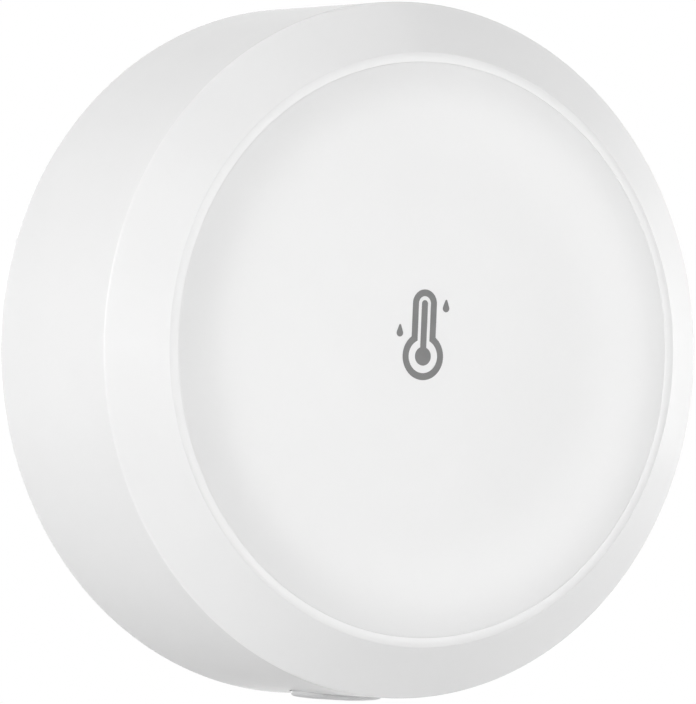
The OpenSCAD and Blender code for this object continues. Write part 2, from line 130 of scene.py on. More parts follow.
def curveToMesh(name, curve):
    piece = bpy.data.objects.new(name, curve)
    bpy.context.collection.objects.link(piece)
    pickOnly(piece)
    bpy.ops.object.convert(target="MESH")
    return piece


def roundedOutline(corners, arcSteps=5):
    # corners are (radius, depth, rounding), in order along the outline
    outline = []
    for i, (radius, depth, rounding) in enumerate(corners):
        corner = Vector((radius, depth))
        if not rounding:
            outline.append(corner)
            continue
        back = (Vector(corners[i - 1][:2]) - corner).normalized()
        ahead = (Vector(corners[(i + 1) % len(corners)][:2]) - corner).normalized()
        half = back.angle(ahead) / 2
        centre = corner + (back + ahead).normalized() * rounding / math.sin(half)
        first = corner + back * rounding / math.tan(half) - centre
        last = corner + ahead * rounding / math.tan(half) - centre
        start = math.atan2(first.y, first.x)
        sweep = (math.atan2(last.y, last.x) - start + math.pi) % (2 * math.pi) - math.pi
        for step in range(arcSteps + 1):
            angle = start + sweep * step / arcSteps
            outline.append(centre + rounding * Vector((math.cos(angle), math.sin(angle))))
    return outline


def spinOutline(name, outline, place, axis, centre, steps):
    # a ring of points is laid out as half the section, opened along the axis and spun round it
    clearSelection()
    bpy.ops.mesh.primitive_circle_add(vertices=len(outline), radius=mm)
    piece = bpy.context.object
    piece.name = name
    for vertex, (radius, along) in zip(piece.data.vertices, outline):
        vertex.co = place(radius, along)
    startEditing(piece)
    bpy.ops.mesh.select_mode(type="EDGE")
    bpy.ops.mesh.select_all(action="DESELECT")
    stopEditing()
    for edge in piece.data.edges:
        edge.select = set(edge.vertices) == {0, len(outline) - 1}
    startEditing(piece)
    bpy.ops.mesh.delete(type="EDGE")
    bpy.ops.mesh.select_mode(type="VERT")
    bpy.ops.mesh.select_all(action="SELECT")
    bpy.ops.mesh.spin(steps=steps, angle=2 * math.pi, center=centre, axis=axis)
    stopEditing()
    closeSeams(piece)
    return piece


def spinRound(name, outline, steps):
    # turned about the puck's own axis
    return spinOutline(name, outline, lambda radius, depth: (radius, -depth, 0), (0, 1, 0), (0, 0, 0), steps)


def addRod(name, radius, start, end, sides=64):
    start, end = Vector(start), Vector(end)
    clearSelection()
    bpy.ops.mesh.primitive_cylinder_add(
        vertices=sides, radius=radius, depth=(end - start).length, location=(start + end) / 2,
        rotation=(end - start).to_track_quat("Z", "Y").to_euler(),
    )
    rod = bpy.context.object
    rod.name = name
    applyPlace(rod)
    return rod


def addBlock(name, low, high):
    low, high = Vector(low), Vector(high)
    clearSelection()
    bpy.ops.mesh.primitive_cube_add(size=1, location=(low + high) / 2)
    block = bpy.context.object
    block.name = name
    block.scale = high - low
    applyPlace(block)
    return block


def finishPiece(piece, body, slot, material, *replaced):
    piece.data.materials.clear()
    piece.data.materials.append(material)
    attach(piece, body)
    if replaced:
        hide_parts(*replaced)
    print("made", piece.name)


# materials: every finish starts from a broad tone noise and a fine grain noise on Object coordinates
def addNode(tree, kind, **settings):
    node = tree.nodes.new(kind)
    for setting, value in settings.items():
        setattr(node, setting, value)
    return node


def objectNoise(tree, scale, detail=3):
    coordinates = addNode(tree, "ShaderNodeTexCoord")
    noise = addNode(tree, "ShaderNodeTexNoise")
    noise.inputs["Scale"].default_value = scale
    noise.inputs["Detail"].default_value = detail
    tree.links.new(coordinates.outputs["Object"], noise.inputs["Vector"])
    return noise.outputs["Fac"]


def toneRamp(tree, factor, *stops):
    ramp = addNode(tree, "ShaderNodeValToRGB")
    elements = ramp.color_ramp.elements
    while len(elements) < len(stops):
        elements.new(0.5)
    for element, (position, colour) in zip(elements, stops):
        element.position = position
        element.color = (*colour, 1)
    tree.links.new(factor, ramp.inputs["Fac"])
    return ramp.outputs["Color"]


def grainFinish(name, finish):
    material = bpy.data.materials.new(name)
    material.use_nodes = True
    tree = material.node_tree
    shader = tree.nodes["Principled BSDF"]
    tone = objectNoise(tree, finish["toneScale"])
    colour = toneRamp(tree, tone, (0.35, finish["dark"]), (0.65, finish["light"]))
    tree.links.new(colour, shader.inputs["Base Color"])
    spread = addNode(tree, "ShaderNodeMapRange")
    spread.inputs["To Min"].default_value = finish["rough"][0]
    spread.inputs["To Max"].default_value = finish["rough"][1]
    tree.links.new(tone, spread.inputs["Value"])
    tree.links.new(spread.outputs["Result"], shader.inputs["Roughness"])
    bump = addNode(tree, "ShaderNodeBump")
    bump.inputs["Strength"].default_value = finish["grain"]
    bump.inputs["Distance"].default_value = finish["grainHeight"]
    tree.links.new(objectNoise(tree, finish["grainScale"]), bump.inputs["Height"])
    tree.links.new(bump.outputs["Normal"], shader.inputs["Normal"])
    shader.inputs["Metallic"].default_value = finish.get("metal", 0)
    return material


shellPlastic = grainFinish("shellPlastic", {
    "dark": (0.84, 0.84, 0.84), "light": (0.86, 0.86, 0.86), "toneScale": 60, "rough": (0.18, 0.22),
    "grainScale": 6000, "grain": 0.15, "grainHeight": 0.004 * mm,
})
buttonPlastic = grainFinish("buttonPlastic", {
    "dark": (0.65, 0.65, 0.655), "light": (0.68, 0.68, 0.685), "toneScale": 200, "rough": (0.3, 0.38),
    "grainScale": 5000, "grain": 0.2, "grainHeight": 0.004 * mm,
})
padFoam = grainFinish("padFoam", {
    "dark": (0.77, 0.77, 0.75), "light": (0.82, 0.82, 0.80), "toneScale": 900, "rough": (0.8, 0.95),
    "grainScale": 3200, "grain": 0.35, "grainHeight": 0.03 * mm,
})
trayPlastic = grainFinish("trayPlastic", {
    "dark": (0.014, 0.014, 0.016), "light": (0.024, 0.024, 0.026), "toneScale": 90, "rough": (0.45, 0.6),
    "grainScale": 5000, "grain": 0.35, "grainHeight": 0.006 * mm,
})


def jacketFinish(name, finish, way):
    # printed bands measured along the cell from its flat end, bare metal at both ends
    material = grainFinish(name, finish)
    tree = material.node_tree
    shader = tree.nodes["Principled BSDF"]
    coordinates = addNode(tree, "ShaderNodeTexCoord")
    parts = addNode(tree, "ShaderNodeSeparateXYZ")
    along = addNode(tree, "ShaderNodeMapRange")
    along.inputs["From Min"].default_value = way * finish["flatEnd"]
    along.inputs["From Max"].default_value = way * (finish["flatEnd"] + finish["length"])
    tree.links.new(coordinates.outputs["Object"], parts.inputs["Vector"])
    tree.links.new(parts.outputs["X"], along.inputs["Value"])
    bands = toneRamp(tree, along.outputs["Result"], *finish["bands"])
    bare = toneRamp(tree, along.outputs["Result"], *finish["bare"])
    for node in (bands.node, bare.node):
        node.color_ramp.interpolation = "CONSTANT"
    tint = addNode(tree, "ShaderNodeMix", data_type="RGBA", blend_type="MULTIPLY")
    tint.inputs["Factor"].default_value = 1
    tree.links.new(shader.inputs["Base Color"].links[0].from_socket, tint.inputs["A"])
    tree.links.new(bands, tint.inputs["B"])
    tree.links.new(tint.outputs["Result"], shader.inputs["Base Color"])
    tree.links.new(bare, shader.inputs["Metallic"])
    return material


cellFoil = {
    "dark": (0.88, 0.88, 0.88), "light": (1, 1, 1), "toneScale": 100, "rough": (0.22, 0.3),
    "grainScale": 3000, "grain": 0.1, "grainHeight": 0.004 * mm, "flatEnd": -20.95 * mm, "length": 44.5 * mm,
    "bands": (
        (0, (0.62, 0.61, 0.58)), (0.02, (0.05, 0.23, 0.16)), (0.74, (0.75, 0.75, 0.72)),
        (0.765, (0.05, 0.23, 0.16)), (0.79, (0.75, 0.75, 0.72)), (0.955, (0.62, 0.61, 0.58)),
    ),
    "bare": ((0, (1, 1, 1)), (0.02, (0.25, 0.25, 0.25)), (0.955, (1, 1, 1))),
}
upperJacket = jacketFinish("upperJacket", cellFoil, 1)
lowerJacket = jacketFinish("lowerJacket", cellFoil, -1)
contactMetal = grainFinish("contactMetal", {
    "dark": (0.61, 0.59, 0.55), "light": (0.65, 0.63, 0.59), "toneScale": 200, "rough": (0.26, 0.32),
    "grainScale": 5000, "grain": 0.08, "grainHeight": 0.004 * mm, "metal": 1,
})

# shares of a texture's range where a track, a turned square, a routed square and a via begin and end
boardPattern = {"track": (0.86, 0.92), "turned": (0.49, 0.51), "routed": (0.39, 0.41), "via": (0.07, 0.09)}
black, white = (0, 0, 0), (1, 1, 1)


def boardPlane(tree):
    # the board's own plane as flat coordinates
    coordinates = addNode(tree, "ShaderNodeTexCoord")
    parts = addNode(tree, "ShaderNodeSeparateXYZ")
    plane = addNode(tree, "ShaderNodeCombineXYZ")
    tree.links.new(coordinates.outputs["Object"], parts.inputs["Vector"])
    tree.links.new(parts.outputs["X"], plane.inputs["X"])
    tree.links.new(parts.outputs["Z"], plane.inputs["Y"])
    return plane.outputs["Vector"]


def planePattern(tree, plane, kind, scale, **settings):
    texture = addNode(tree, kind, **settings)
    texture.inputs["Scale"].default_value = scale
    tree.links.new(plane, texture.inputs["Vector"])
    return texture


def stepRamp(tree, factor, edge, before=black, after=white):
    start, end = edge
    return toneRamp(tree, factor, (start, before), (end, after))


def mixTones(tree, factor, first, second):
    mix = addNode(tree, "ShaderNodeMix", data_type="RGBA")
    tree.links.new(factor, mix.inputs["Factor"])
    for socket, tone in ((mix.inputs["A"], first), (mix.inputs["B"], second)):
        if isinstance(tone, tuple):
            socket.default_value = (*tone, 1)
        else:
            tree.links.new(tone, socket)
    return mix.outputs["Result"]


def boardFinish(name, finish):
    # solder mask over bundles of parallel tracks, turned from square to square, and tinned vias
    material = grainFinish(name, finish)
    tree = material.node_tree
    baseColour = tree.nodes["Principled BSDF"].inputs["Base Color"]
    plane = boardPlane(tree)
    squares = planePattern(tree, plane, "ShaderNodeTexVoronoi", finish["squareScale"], distance="CHEBYCHEV")
    chance = addNode(tree, "ShaderNodeSeparateColor")
    tree.links.new(squares.outputs["Color"], chance.inputs["Color"])
    bundles = []
    for way in ("X", "Y"):
        wave = planePattern(tree, plane, "ShaderNodeTexWave", finish["trackScale"], bands_direction=way)
        bundles.append(stepRamp(tree, wave.outputs["Fac"], boardPattern["track"]))
    turned = stepRamp(tree, chance.outputs["Red"], boardPattern["turned"])
    routed = stepRamp(tree, chance.outputs["Green"], boardPattern["routed"])
    tracks = mixTones(tree, routed, black, mixTones(tree, turned, *bundles))
    vias = planePattern(tree, plane, "ShaderNodeTexVoronoi", finish["viaScale"])
    tinned = stepRamp(tree, vias.outputs["Distance"], boardPattern["via"], white, black)
    masked = mixTones(tree, tracks, baseColour.links[0].from_socket, finish["track"])
    tree.links.new(mixTones(tree, tinned, masked, finish["via"]), baseColour)
    return material


boardLaminate = boardFinish("boardLaminate", {
    "dark": (0.01, 0.09, 0.04), "light": (0.014, 0.12, 0.055), "toneScale": 300, "rough": (0.25, 0.35),
    "grainScale": 4000, "grain": 0.15, "grainHeight": 0.004 * mm, "trackScale": 400, "squareScale": 220,
    "viaScale": 260, "track": (0.022, 0.175, 0.08), "via": (0.5, 0.5, 0.45),
})
radioLaminate = boardFinish("radioLaminate", {
    "dark": (0.008, 0.012, 0.03), "light": (0.012, 0.018, 0.04), "toneScale": 300, "rough": (0.25, 0.35),
    "grainScale": 4000, "grain": 0.15, "grainHeight": 0.004 * mm, "trackScale": 700, "squareScale": 400,
    "viaScale": 700, "track": (0.02, 0.03, 0.065), "via": (0.6, 0.5, 0.25),
})
shieldMetal = grainFinish("shieldMetal", {
    "dark": (0.58, 0.58, 0.58), "light": (0.6, 0.6, 0.6), "toneScale": 150, "rough": (0.28, 0.32),
    "grainScale": 4000, "grain": 0.06, "grainHeight": 0.004 * mm, "metal": 1,
})
chipPlastic = grainFinish("chipPlastic", {
    "dark": (0.012, 0.012, 0.013), "light": (0.02, 0.02, 0.022), "toneScale": 900, "rough": (0.5, 0.6),
    "grainScale": 9000, "grain": 0.3, "grainHeight": 0.004 * mm,
})
ledResin = grainFinish("ledResin", {
    "dark": (0.75, 0.66, 0.3), "light": (0.85, 0.78, 0.45), "toneScale": 900, "rough": (0.15, 0.25),
    "grainScale": 9000, "grain": 0.1, "grainHeight": 0.004 * mm,
})
switchPlastic = grainFinish("switchPlastic", {
    "dark": (0.01, 0.01, 0.01), "light": (0.018, 0.018, 0.018), "toneScale": 600, "rough": (0.4, 0.5),
    "grainScale": 6000, "grain": 0.3, "grainHeight": 0.004 * mm,
})
plungerPlastic = grainFinish("plungerPlastic", {
    "dark": (0.6, 0.55, 0.45), "light": (0.66, 0.61, 0.52), "toneScale": 600, "rough": (0.35, 0.45),
    "grainScale": 6000, "grain": 0.2, "grainHeight": 0.004 * mm,
})
capacitorSleeve = grainFinish("capacitorSleeve", {
    "dark": (0.008, 0.01, 0.03), "light": (0.012, 0.016, 0.045), "toneScale": 500, "rough": (0.2, 0.3),
    "grainScale": 5000, "grain": 0.15, "grainHeight": 0.004 * mm,
})
screwMetal = grainFinish("screwMetal", {
    "dark": (0.42, 0.42, 0.44), "light": (0.52, 0.52, 0.54), "toneScale": 900, "rough": (0.28, 0.4),
    "grainScale": 7000, "grain": 0.25, "grainHeight": 0.004 * mm, "metal": 1,
})
printInk = grainFinish("printInk", {
    "dark": (0.205, 0.205, 0.205), "light": (0.22, 0.22, 0.22), "toneScale": 800, "rough": (0.5, 0.6),
    "grainScale": 9000, "grain": 0.2, "grainHeight": 0.003 * mm,
})
finishes = {
    "shell_plastic": shellPlastic, "button_plastic": buttonPlastic, "pad_foam": padFoam,
    "tray_plastic": trayPlastic, "cell_jacket": upperJacket, "contact_metal": contactMetal,
    "board_laminate": boardLaminate, "radio_laminate": radioLaminate, "shield_metal": shieldMetal,
    "chip_plastic": chipPlastic, "led_resin": ledResin, "switch_plastic": switchPlastic,
    "plunger_plastic": plungerPlastic, "capacitor_sleeve": capacitorSleeve, "screw_metal": screwMetal,
}
for subpart in frame["record"]["subparts"]:
    meshData = nodes[subpart["node"]].data
    meshData.materials.clear()
    meshData.materials.append(finishes[subpart["material_slot"]])
print("materials on", len(nodes), "nodes")

# front shell: one moulded section spun round, then the bosses, the key and the button's window
housingLow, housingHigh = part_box("housing")
frontShell = {
    "outerRadius": housingHigh.x, "rimDepth": -housingHigh.y, "lipDepth": -housingLow.y,
    "bevelDepth": 3.4 * mm, "bevelWidth": 4.45 * mm, "lipWidth": 0.85 * mm, "wall": 1.8 * mm,
    "rimWall": 1.1 * mm, "coverThickness": 1.8 * mm, "dishDepth": 0.55 * mm, "dishStep": 0.04 * mm,
    "flatRadius": 15.5 * mm, "creaseRound": 0.25 * mm, "edgeRound": 0.08 * mm, "insideRound": 0.4 * mm,
    "dishPower": 2.6, "dishSteps": 32, "lipDrop": 0.02 * mm, "turnSteps": 288,
    "windowBand": (5 * mm, 14 * mm),
}


def makeFrontShell(spec):
    outer, bore = spec["outerRadius"], spec["outerRadius"] - spec["wall"]
    rebate = outer - spec["rimWall"]
    lipEdge = outer - spec["bevelWidth"]
    dishEdge = lipEdge - spec["lipWidth"]
    rim, lip = spec["rimDepth"], spec["lipDepth"]
    crease = lip - spec["bevelDepth"]
    shoulder = rim + spec["coverThickness"]
    flat = lip - spec["dishDepth"]
    faceInside = flat - spec["wall"]
    slope = spec["bevelWidth"] / spec["bevelDepth"]
    creaseInside = crease - spec["wall"] * math.tan(math.atan(slope) / 2)
    faceEdge = bore - (faceInside - creaseInside) * slope
    edge, inside = spec["edgeRound"], spec["insideRound"]
    near, far = spec["windowBand"]
    corners = [
        (0, faceInside, 0), (faceEdge, faceInside, inside), (bore, creaseInside, inside), (bore, far, 0),
        (bore, near, 0), (bore, shoulder, edge), (rebate, shoulder, edge), (rebate, rim, edge),
        (outer, rim, 2 * edge), (outer, near, 0), (outer, far, 0), (outer, crease, spec["creaseRound"]),
        (lipEdge, lip - spec["lipDrop"], edge), (dishEdge, lip, edge / 2),
        (dishEdge, lip - spec["dishStep"], edge / 4),
    ]
    rise = spec["dishDepth"] - spec["dishStep"]
    for step in range(1, spec["dishSteps"] + 1):
        share = 1 - step / spec["dishSteps"]
        radius = spec["flatRadius"] + (dishEdge - spec["flatRadius"]) * share
        corners.append((radius, flat + rise * share ** spec["dishPower"], 0))
    corners.append((0, flat, 0))
    return spinRound("frontShell", roundedOutline(corners), spec["turnSteps"])


shell = makeFrontShell(frontShell)

buttonWindow = {
    "length": 8.9 * mm, "width": 4.3 * mm, "depth": 9.6 * mm, "sides": 96,
    "outside": 2 * mm, "inside": 4 * mm,
}


def addPill(name, length, width, depth, low, high, sides):
    # upright prism with a slot outline, long across the wall, from low to high
    half = (length - width) / 2
    pill = addRod(name, width / 2, (0, -depth, low), (0, -depth, high), sides)
    for vertex in pill.data.vertices:
        vertex.co.x += math.copysign(half, vertex.co.x) if abs(vertex.co.x) > 0.01 * mm else 0
    return pill


cutWith(shell, addPill(
    "windowTool", buttonWindow["length"], buttonWindow["width"], buttonWindow["depth"],
    housingLow.z - buttonWindow["outside"], housingLow.z + buttonWindow["inside"], buttonWindow["sides"],
))

screwBosses = {
    "x": 16.974 * mm, "z": 16.108 * mm, "radius": 2.2 * mm, "pilot": 1.02 * mm,
    "foot": 15.85 * mm, "top": 20.2 * mm, "pilotStart": 15 * mm, "pilotEnd": 18.67 * mm, "pilotSides": 32,
}


def addBoss(spec, x, z):
    foot, top = (x, -spec["foot"], z), (x, -spec["top"], z)
    cutWith(shell, addRod("bossTool", spec["radius"], foot, top), "UNION")
    start, end = (x, -spec["pilotStart"], z), (x, -spec["pilotEnd"], z)
    cutWith(shell, addRod("pilotTool", spec["pilot"], start, end, spec["pilotSides"]))


for side in (-1, 1):
    for level in (-1, 1):
        addBoss(screwBosses, side * screwBosses["x"], level * screwBosses["z"])

coverKey = {"width": 4 * mm, "inner": 26.7 * mm, "outer": 29 * mm, "near": 2.9 * mm, "far": 5 * mm}
cutWith(shell, addBlock(
    "keyTool", (-coverKey["width"] / 2, -coverKey["far"], coverKey["inner"]),
    (coverKey["width"] / 2, -coverKey["near"], coverKey["outer"]),
), "UNION")
smoothFaces(shell)
finishPiece(shell, "sensor_body", "shell_plastic", shellPlastic, "housing")

# face print: a thin film of ink, drawn as one flat figure with its inner outlines left open
facePrint = {
    "depth": 21.35 * mm, "film": 0.02 * mm, "x": 0.05 * mm, "bulb": -0.55 * mm,
    "outside": (2.05 * mm, 2.42 * mm, 5.2 * mm), "hollow": (1.45 * mm, 1.22 * mm, 4.62 * mm),
    "stem": (0.8 * mm, 0.6 * mm, 4.28 * mm), "dropSize": (0.65 * mm, 1.07 * mm, 0.1 * mm),
    "drops": ((-2.37 * mm, 1.03 * mm), (2.21 * mm, 3.35 * mm)), "arcSteps": 24,
}


def arcPoints(x, z, radius, start, sweep, steps):
    angles = [math.radians(start + sweep * step / steps) for step in range(steps + 1)]
    return [(x + radius * math.cos(angle), z + radius * math.sin(angle)) for angle in angles]


def stemOutline(spec, bulbRadius, width, top):
    # round bulb below, straight stem, round top
    lean = math.degrees(math.acos(width / 2 / bulbRadius))
    outline = arcPoints(spec["x"], spec["bulb"], bulbRadius, 180 - lean, 180 + 2 * lean, 2 * spec["arcSteps"])
    return outline + arcPoints(spec["x"], top - width / 2, width / 2, 0, 180, spec["arcSteps"])


def dropOutline(spec, x, low):
    width, height, tip = spec["dropSize"]
    lean = math.degrees(math.asin((width / 2 - tip) / (height - width / 2 - tip)))
    outline = arcPoints(x, low + width / 2, width / 2, 180 - lean, 180 + 2 * lean, spec["arcSteps"])
    return outline + arcPoints(x, low + height - tip, tip, lean, 180 - 2 * lean, spec["arcSteps"] // 2)


def makeFacePrint(spec):
    drawing = bpy.data.curves.new("facePrint", "CURVE")
    drawing.dimensions = "2D"
    drawing.fill_mode = "BOTH"
    drawing.extrude = spec["film"] / 2
    outlines = [stemOutline(spec, *spec[key]) for key in ("outside", "hollow", "stem")]
    outlines += [dropOutline(spec, *drop) for drop in spec["drops"]]
    for outline in outlines:
        line = drawing.splines.new("POLY")
        line.points.add(len(outline) - 1)
        line.use_cyclic_u = True
        for point, (x, z) in zip(line.points, outline):
            point.co = (x, z, 0, 1)
    piece = curveToMesh("facePrint", drawing)
    piece.location.y = -spec["depth"] - spec["film"] / 2
    piece.rotation_euler.x = math.pi / 2
    applyPlace(piece)
    closeSeams(piece)
    return piece


facePrintPiece = makeFacePrint(facePrint)
finishPiece(facePrintPiece, "sensor_body", "print_ink", printInk)

# push button: flange and cap raised from one slot outline laid flat, then curved onto the side wall
pushButton = {
    "length": 8.6 * mm, "width": 4 * mm, "flange": 1 * mm, "depth": 9.6 * mm, "sides": 96, "cuts": 24,
    "foot": 27.2 * mm, "flangeTop": 28.1 * mm, "capTop": 30.4 * mm, "edge": 0.3 * mm, "wall": 30 * mm,
    "postLow": (-1.5 * mm, -12.45 * mm, -27.65 * mm), "postHigh": (1.5 * mm, -8.4 * mm, -25.9 * mm),
}


def selectFace(piece, pick):
    startEditing(piece)
    bpy.ops.mesh.select_mode(type="FACE")
    bpy.ops.mesh.select_all(action="DESELECT")
    stopEditing()
    pick(piece.data.polygons).select = True
    startEditing(piece)


def makePushButton(spec):
    margin = 2 * spec["flange"]
    piece = addPill(
        "pushButton", spec["length"] + margin, spec["width"] + margin, spec["depth"], spec["foot"],
        spec["flangeTop"], spec["sides"],
    )
    selectFace(piece, lambda faces: max(faces, key=lambda face: face.center.z))
    bpy.ops.mesh.inset(thickness=spec["flange"], depth=0)
    raised = (0, 0, spec["capTop"] - spec["flangeTop"])
    bpy.ops.mesh.extrude_region_move(TRANSFORM_OT_translate={"value": raised})
    bpy.ops.mesh.bevel(offset=spec["edge"], segments=6, affect="EDGES")
    for cut in range(1, spec["cuts"]):
        across = (cut / spec["cuts"] - 0.5) * (spec["length"] + margin)
        bpy.ops.mesh.select_all(action="SELECT")
        bpy.ops.mesh.bisect(plane_co=(across, 0, 0), plane_no=(1, 0, 0))
    stopEditing()
    for vertex in piece.data.vertices:
        angle, radius = vertex.co.x / spec["wall"], vertex.co.z
        vertex.co.x, vertex.co.z = radius * math.sin(angle), -radius * math.cos(angle)
    closeSeams(piece)
    cutWith(piece, addBlock("postTool", spec["postLow"], spec["postHigh"]), "UNION")
    smoothFaces(piece, 30)
    return piece


buttonPiece = makePushButton(pushButton)
finishPiece(buttonPiece, "button", "button_plastic", buttonPlastic, "button")

# foam pad on the back, a firm disc with soft edges
padLow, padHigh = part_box("adhesive_pad")
foamPad = {
    "radius": padHigh.x, "near": -padHigh.y, "far": -padLow.y, "edge": 0.3 * mm, "turnSteps": 192,
}
padPiece = spinRound("foamPad", roundedOutline([
    (0, foamPad["near"], 0), (foamPad["radius"], foamPad["near"], foamPad["edge"]),
    (foamPad["radius"], foamPad["far"], foamPad["edge"]), (0, foamPad["far"], 0),
]), foamPad["turnSteps"])
smoothFaces(padPiece, 40)
finishPiece(padPiece, "base", "pad_foam", padFoam, "adhesive_pad")

# cells: turned about their own length, with a rolled base, a jacket edge and the raised end
dryCell = {
    "depth": 8.25 * mm, "level": 5.55 * mm, "base": -20.95 * mm, "turnSteps": 96,
    "outline": (
        (0, 0.15, 0), (3.5, 0.15, 0.1), (3.8, 0, 0.1), (4.6, 0, 0.25), (5.25, 0.6, 0.4), (5.25, 42.9, 0.35),
        (4.75, 43.5, 0.12), (4.4, 43.45, 0.05), (4.3, 43.2, 0.05), (2.3, 43.2, 0.1), (2.1, 43.5, 0.08),
        (1.9, 43.5, 0.05), (1.9, 44.5, 0.3), (0, 44.5, 0),
    ),
}


def makeCell(name, spec, way):
    level = way * spec["level"]
    outline = roundedOutline([[value * mm for value in corner] for corner in spec["outline"]])
    piece = spinOutline(
        name, outline, lambda radius, along: (way * (spec["base"] + along), -spec["depth"], level + radius),
        (1, 0, 0), (0, -spec["depth"], level), spec["turnSteps"],
    )
    smoothFaces(piece, 40)
    return piece


upperCell, lowerCell = makeCell("upperCell", dryCell, 1), makeCell("lowerCell", dryCell, -1)
finishPiece(upperCell, "sensor_body", "cell_jacket", upperJacket, "cell_upper")
finishPiece(lowerCell, "sensor_body", "cell_jacket", lowerJacket, "cell_lower")

# contact springs: one round wire each, wound from the sheet to the cell
contactSpring = {
    "wire": 0.5 * mm, "wide": 3.6 * mm, "narrow": 2 * mm, "turns": 3, "lift": 0.3 * mm, "run": 2.3 * mm,
    "sheet": 23.9 * mm, "turnSteps": 48,
}


def makeSpring(name, spec, cell, way):
    # way 1 is the lower right end and -1 the upper left end
    wire = bpy.data.curves.new(name, "CURVE")
    wire.dimensions = "3D"
    wire.bevel_depth = spec["wire"] / 2
    wire.bevel_resolution = 4
    wire.use_fill_caps = True
    count = spec["turns"] * spec["turnSteps"] + 1
    line = wire.splines.new("POLY")
    line.points.add(count - 1)
    for step, point in enumerate(line.points):
        share = step / (count - 1)
        angle = 2 * math.pi * spec["turns"] * share
        radius = spec["wide"] + (spec["narrow"] - spec["wide"]) * share
        along = spec["lift"] + spec["run"] * share
        point.co = (
            way * (spec["sheet"] - along), -cell["depth"] - way * radius * math.cos(angle),
            -way * cell["level"] + radius * math.sin(angle), 1,
        )
    piece = curveToMesh(name, wire)
    closeSeams(piece)
    smoothFaces(piece, 40)
    return piece


negativeSpring = makeSpring("negativeSpring", contactSpring, dryCell, 1)
bridgeSpring = makeSpring("bridgeSpring", contactSpring, dryCell, -1)
finishPiece(negativeSpring, "sensor_body", "contact_metal", contactMetal, "negative_spring")
finishPiece(bridgeSpring, "sensor_body", "contact_metal", contactMetal, "bridge_spring")

# hard pieces inside and behind: the CAD solids with whole faces and the small edge rounds of real parts
edgeRounds = {
    "rear_cover": 0.15 * mm, "battery_tray": 0.12 * mm, "positive_contact": 0.06 * mm,
    "negative_contact": 0.06 * mm, "bridge_contact": 0.06 * mm, "circuit_board": 0.05 * mm,
    "radio_board": 0.04 * mm, "radio_shield": 0.12 * mm, "humidity_sensor": 0.05 * mm,
    "status_led": 0.06 * mm, "tact_switch": 0.08 * mm, "switch_plunger": 0.12 * mm,
    "switch_bracket": 0.05 * mm, "bulk_capacitor": 0.2 * mm, "chip_components": 0.04 * mm,
    "tray_screws": 0.06 * mm,
}
edgeFinish = {"flatUnder": 1, "sharpOver": 40, "smoothUnder": 30, "segments": 2}  # angles in degrees


def easedCopy(node, radius):
    first, *others = node.split("_")
    name = first + "".join(word.title() for word in others)
    piece = bpy.data.objects.new(name, nodes[node].data.copy())
    bpy.context.collection.objects.link(piece)
    startEditing(piece)
    bpy.ops.mesh.select_all(action="SELECT")
    bpy.ops.mesh.remove_doubles(threshold=weldGap)
    bpy.ops.mesh.dissolve_limited(angle_limit=math.radians(edgeFinish["flatUnder"]))
    stopEditing()
    applyModifier(
        piece, "BEVEL", width=radius, segments=edgeFinish["segments"], limit_method="ANGLE",
        angle_limit=math.radians(edgeFinish["sharpOver"]),
    )
    smoothFaces(piece, edgeFinish["smoothUnder"])
    return piece


for subpart in frame["record"]["subparts"]:
    node = subpart["node"]
    if node in edgeRounds:
        slot = subpart["material_slot"]
        eased = easedCopy(node, edgeRounds[node])
        finishPiece(eased, body_of(nodes[node])[0], slot, finishes[slot], node)

# camera at the photograph's angle, with its small roll
photoCamera = {
    "azimuth": -31.738, "elevation": -1.727, "roll": 2.345, "distance": 783.64 * mm, "lens": 462.425,
    "target": (-1.604 * mm, -11.8 * mm, -0.226 * mm),
}


def addCamera(spec):
    turn, tilt, roll = (math.radians(spec[key]) for key in ("azimuth", "elevation", "roll"))
    back = Vector((math.sin(turn) * math.cos(tilt), -math.cos(turn) * math.cos(tilt), math.sin(tilt)))
    right = Vector((0, 0, 1)).cross(back).normalized()
    up = back.cross(right)
    rolledRight = math.cos(roll) * right + math.sin(roll) * up
    rolledUp = math.cos(roll) * up - math.sin(roll) * right
    bpy.ops.object.camera_add()
    camera = bpy.context.object
    camera.data.lens = spec["lens"]
    camera.data.clip_end = 10
    axes = Matrix((rolledRight, rolledUp, back)).transposed()
    camera.matrix_world = Matrix.Translation(Vector(spec["target"]) + back * spec["distance"]) @ axes.to_4x4()
    bpy.context.scene.camera = camera


addCamera(photoCamera)


def whenSeen(tree):
    # 1 for rays from the camera, by reflection and through clear things, 0 for light
    paths = addNode(tree, "ShaderNodeLightPath")
    seen = paths.outputs["Is Camera Ray"]
    for ray in ("Is Glossy Ray", "Is Transmission Ray"):
        either = addNode(tree, "ShaderNodeMath", operation="MAXIMUM")
        tree.links.new(seen, either.inputs[0])
        tree.links.new(paths.outputs[ray], either.inputs[1])
        seen = either.outputs[0]
    return seen


def blendShaders(tree, factor, first, second):
    blend = addNode(tree, "ShaderNodeMixShader")
    tree.links.new(factor, blend.inputs["Fac"])
    tree.links.new(first.outputs[0], blend.inputs[1])
    tree.links.new(second.outputs[0], blend.inputs[2])
    return blend


# world: white to the eye and in reflections, softer as light
worldLight = {"ambient": 0.105, "white": 1}
world = bpy.data.worlds.new("studioWorld")
world.use_nodes = True
bpy.context.scene.world = world
worldTree = world.node_tree
worldTree.nodes.clear()
backgrounds = []
for strength in (worldLight["ambient"], worldLight["white"]):
    background = addNode(worldTree, "ShaderNodeBackground")
    background.inputs["Color"].default_value = (1, 1, 1, 1)
    background.inputs["Strength"].default_value = strength
    backgrounds.append(background)
studio = blendShaders(worldTree, whenSeen(worldTree), *backgrounds)
worldTree.links.new(studio.outputs[0], addNode(worldTree, "ShaderNodeOutputWorld").inputs["Surface"])

